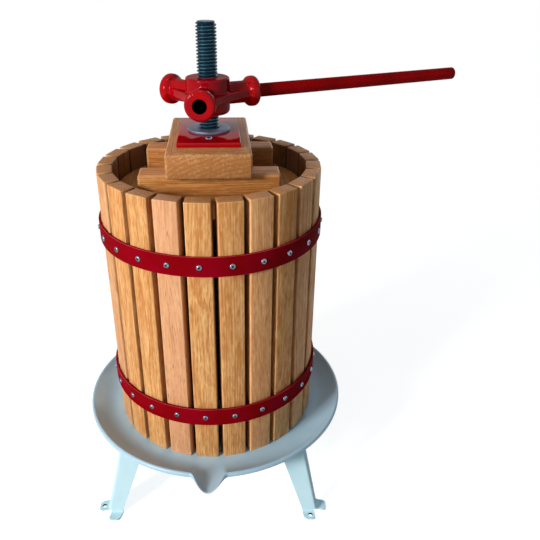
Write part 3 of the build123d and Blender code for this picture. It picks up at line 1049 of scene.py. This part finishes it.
def tray_column(turn):
    """Points (radius, z) of the tray's upper face at a turn, from the hole to the lip's edge."""
    across = min(abs(lip_radius * sin(turn)) / spout_half, 1) if cos(turn) > 0 else 1
    drawn = cos(pi / 2 * across**spout_bluntness) ** 2
    run = wall_run + spout_reach * drawn
    level = sin(pi / 2 * hypot(across, spout_crease) / hypot(1, spout_crease))
    rise = spout_rise + (wall_rise - spout_rise) * level
    points = [(radius, tray_floor_z) for radius in floor_rings]
    for step in range(wall_steps + 1):
        share = step / wall_steps
        bend = (1 - cos(asin(share * sin(wall_turn)))) / (1 - cos(wall_turn))
        points.append((floor_radius + run * share, tray_floor_z + rise * bend))
    slope = atan(rise / run * sin(wall_turn) * tan(wall_turn) / (1 - cos(wall_turn)))
    sweep = (slope + pi / 2) * (1 - spout_unroll * drawn)
    middle = (points[-1][0] + lip_roll * sin(slope), points[-1][1] - lip_roll * cos(slope))
    for step in range(1, roll_steps + 1):
        way = slope - sweep * step / roll_steps
        points.append((middle[0] - lip_roll * sin(way), middle[1] + lip_roll * cos(way)))
    skirt = (lip_drop - lip_roll) * max((1 - drawn) ** skirt_fade, skirt_least)
    points.append((points[-1][0] + skirt * cos(way), points[-1][1] + skirt * sin(way)))
    return points


# Columns stand closer together at the spout
fine_half = 22
fine_step = radians(0.4)
fine_reach = fine_half * fine_step
coarse_count = 210
coarse_reach = 2 * pi - 2 * fine_reach
tray_turns = [index * fine_step for index in range(-fine_half, fine_half)]
tray_turns += [fine_reach + coarse_reach * index / coarse_count for index in range(coarse_count)]
bm = bmesh.new()
columns = []
for turn in tray_turns:
    column = [heading(turn) * radius + Vector((0, 0, z)) for radius, z in tray_column(turn)]
    columns.append([bm.verts.new(point) for point in column])
skin(bm, list(zip(*columns)))
tray = make_object("tray_look", bm, crease=50, outward=Vector((0, 0, 1)))
thicken(tray, tray_sheet, crease=50)
settle(tray, "stand", "tray_paint", "tray")


# Legs: bent sheet angles with two foot tabs each, one of them with a hole

leg_sheet = 3.0 * MM
leg_splay = 23.0 * MM
leg_foot_width = 21.0 * MM
leg_tray_width = 36.0 * MM
leg_bend = 4.0 * MM
leg_notch = 5.0 * MM
leg_gap = 0.3 * MM
leg_levels = 15
leg_top_passes = 6
flange_steps = 6
bend_steps = 6
tab_length = 13.0 * MM
tab_skew = 3.0 * MM
tab_corner = 5.0 * MM
tab_bend = 3.0 * MM
# Rows of points on a tab's flat part as shares of its length, closer together at the corners
tab_rows = (0.25, 0.5, 0.65, 0.78, 0.87, 0.93, 0.97, 0.99, 1.0)
foot_z = leg_sheet + tab_bend
leg_foot_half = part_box("leg_front_right")[1][0] - tab_length
tab_tip = leg_foot_half + tab_length
foot_hole_radius = 3.5 * MM
foot_hole_reach = 10.0 * MM
foot_hole_along = leg_foot_half - (leg_notch + leg_foot_width - tab_skew) / 2
foot_hole_out = leg_foot_half + tab_length / 2


def leg_half(z):
    """Distance of the flanges' outer faces from the axis at a height."""
    return leg_foot_half - leg_splay * z / tray_floor_z


def leg_width(z):
    """Width of a flange at a height."""
    return leg_foot_width + (leg_tray_width - leg_foot_width) * z / tray_floor_z


def tray_underside(radius):
    """Height of the tray's lower face at a radius."""
    out = max(radius - floor_radius, 0)
    return tray_floor_z + dish_curve - sqrt((dish_curve + tray_sheet) ** 2 - out**2)


def leg_section(z):
    """Outer face of a leg in plan at a height, from one flange's edge to the other's."""
    half = leg_half(z)
    free_edge = half - leg_width(z)
    flange = half - leg_notch - free_edge
    one = [(free_edge + flange * step / flange_steps, -half) for step in range(flange_steps + 1)]
    bend = []
    for step in range(bend_steps + 1):
        angle = pi / 2 * step / bend_steps
        x = half - leg_bend + leg_bend * sin(angle)
        y = -half + leg_bend - leg_bend * cos(angle)
        bend.append((x, y))
    two = [(-y, -x) for x, y in reversed(one)]
    return one + bend + two


def leg_tops():
    """Height at which each point of a leg's section comes close to the tray's underside."""
    tops = []
    for index in range(len(leg_section(foot_z))):
        z = tray_floor_z
        for _ in range(leg_top_passes):
            z = tray_underside(hypot(*leg_section(z)[index])) - leg_gap
        tops.append(z)
    return tops


def tab_path():
    """Points (out, z) of a foot tab's upper face, from the flange round its bend to the tip."""
    start = leg_half(foot_z)
    path = [(start, foot_z)]
    for step in range(1, bend_steps + 1):
        angle = pi / 2 * step / bend_steps
        path.append((start + tab_bend * (1 - cos(angle)), foot_z - tab_bend * sin(angle)))
    flat_start = path[-1][0]
    for share in tab_rows:
        path.append((flat_start + (tab_tip - flat_start) * share, leg_sheet))
    return path


def add_tab(bm, mirrored):
    """Upper face of a foot tab on one flange, or mirrored on the other."""
    root = leg_half(foot_z)
    inner = root - leg_width(foot_z)
    outer = root - leg_notch
    rows = []
    for out, z in tab_path():
        shift = tab_skew * (out - root) / (tab_tip - root)
        into_corner = max(tab_corner - (tab_tip - out), 0)
        pull = tab_corner - sqrt(tab_corner**2 - into_corner**2)
        row = []
        for step in range(flange_steps + 1):
            along = inner + shift + pull + (outer - inner - 2 * pull) * step / flange_steps
            row.append(bm.verts.new((out, -along, z) if mirrored else (along, -out, z)))
        rows.append(row)
    skin(bm, rows, wrap=False)


def leg_mesh(turn):
    """Outer face of the leg whose corner is at a turn, with its two foot tabs."""
    bm = bmesh.new()
    tops = leg_tops()
    rows = []
    for level in range(leg_levels):
        heights = [foot_z + (top - foot_z) * level / (leg_levels - 1) for top in tops]
        points = [(*leg_section(z)[index], z) for index, z in enumerate(heights)]
        rows.append([bm.verts.new(point) for point in points])
    skin(bm, rows, wrap=False)
    for mirrored in (False, True):
        add_tab(bm, mirrored)
    spin = Matrix.Rotation(turn - pi / 4, 3, "Z")
    bmesh.ops.rotate(bm, cent=(0, 0, 0), matrix=spin, verts=bm.verts)
    return bm


for index, leg_place in enumerate(("front_right", "rear_right", "rear_left", "front_left")):
    turn = pi / 4 + pi / 2 * index
    leg = make_object(f"leg_{leg_place}_look", leg_mesh(turn), crease=40, outward=heading(turn))
    thicken(leg, leg_sheet, crease=40)
    spin = Matrix.Rotation(turn - pi / 4, 4, "Z")
    spot = spin @ Vector((foot_hole_along, -foot_hole_out, 0))
    drill(leg, (Matrix.Translation(spot), foot_hole_radius, foot_hole_reach))
    settle(leg, "stand", "leg_paint", f"leg_{leg_place}")

# Hidden pieces that keep their CAD shape
kept_slots = {"cross_bar_a": "leg_paint", "cross_bar_b": "leg_paint", "spindle_nut": "zinc"}
for node, slot in kept_slots.items():
    kept = frame["nodes"][node]
    kept.data.materials.clear()
    kept.data.materials.append(materials[slot])


# Stage and light

stage_radius = 40.0
stage_segments = 64
stage_drop = 0.2 * MM
# The floor's shadow fades out between these distances from the axis
stage_near = 0.5
stage_far = 1.6
# Glow of the floor far from the object and near it
stage_white = 1.0
stage_glow = 0.82
# Diffuse colour of the floor for the rays that show the background, and for all others
stage_shown = 0.6
stage_bounce = 0.6
ambient = 0.06
ambient_colour = (0.78, 0.9, 1, 1)


def stage_material():
    """Floor that shows white with the object's shadow, and is plain white far from it."""
    graph = Graph(bpy.data.materials.new("stage"))
    far = graph.spread(graph.axis_reach(graph.position()), stage_near, stage_far)
    shown_colour = graph.mix(far, grey(stage_shown), grey(0))
    shown = graph.node("ShaderNodeBsdfDiffuse", {"Color": shown_colour})
    glow_strength = graph.spread(far, 0, 1, stage_glow, stage_white)
    glow = graph.node("ShaderNodeEmission", {"Strength": glow_strength})
    seen = graph.node("ShaderNodeAddShader", {0: shown.outputs[0], 1: glow.outputs[0]})
    bounce = graph.node("ShaderNodeBsdfDiffuse", {"Color": grey(stage_bounce)})
    inputs = {0: graph.background_rays(), 1: bounce.outputs[0], 2: seen.outputs[0]}
    shader = graph.node("ShaderNodeMixShader", inputs)
    graph.node("ShaderNodeOutputMaterial", {"Surface": shader.outputs[0]})
    return graph.owner


bm = bmesh.new()
bmesh.ops.create_circle(bm, cap_ends=True, segments=stage_segments, radius=stage_radius)
floor = make_object("floor", bm)
floor.location.z = -stage_drop
floor.data.materials.append(stage_material())

world = bpy.data.worlds.new("studio")
bpy.context.scene.world = world
sky = Graph(world)
sky_light = sky.node("ShaderNodeBackground", {"Color": ambient_colour, "Strength": ambient})
sky_white = sky.node("ShaderNodeBackground", {"Color": grey(1), "Strength": stage_white})
sky_inputs = {0: sky.background_rays(), 1: sky_light.outputs[0], 2: sky_white.outputs[0]}
sky_mix = sky.node("ShaderNodeMixShader", sky_inputs)
sky.node("ShaderNodeOutputWorld", {"Surface": sky_mix.outputs[0]})

lamp_distance = 3.0
lamp_aim = Vector((0, 0, 0.3))
# Turn and elevation in degrees, size in metres, power in watts, and colour
lamps = {
    "key": (-45, 20, 0.8, 85, (1, 0.985, 0.96)),
    "fill": (65, 20, 2.0, 5, (0.6, 0.82, 1)),
    "top": (-20, 76, 0.8, 10, (1, 1, 1)),
    "back": (155, 14, 1.4, 18, (0.9, 0.95, 1)),
}
for name, (turn, elevation, size, power, colour) in lamps.items():
    lamp_data = bpy.data.lights.new(name, "AREA")
    lamp_data.size = size
    lamp_data.energy = power
    lamp_data.color = colour
    lamp = new_object(name, lamp_data)
    rise = radians(elevation)
    way = heading(radians(turn)) * cos(rise) + Vector((0, 0, sin(rise)))
    lamp.location = lamp_aim + way * lamp_distance
    lamp.rotation_euler = (-way).to_track_quat("-Z", "Y").to_euler()
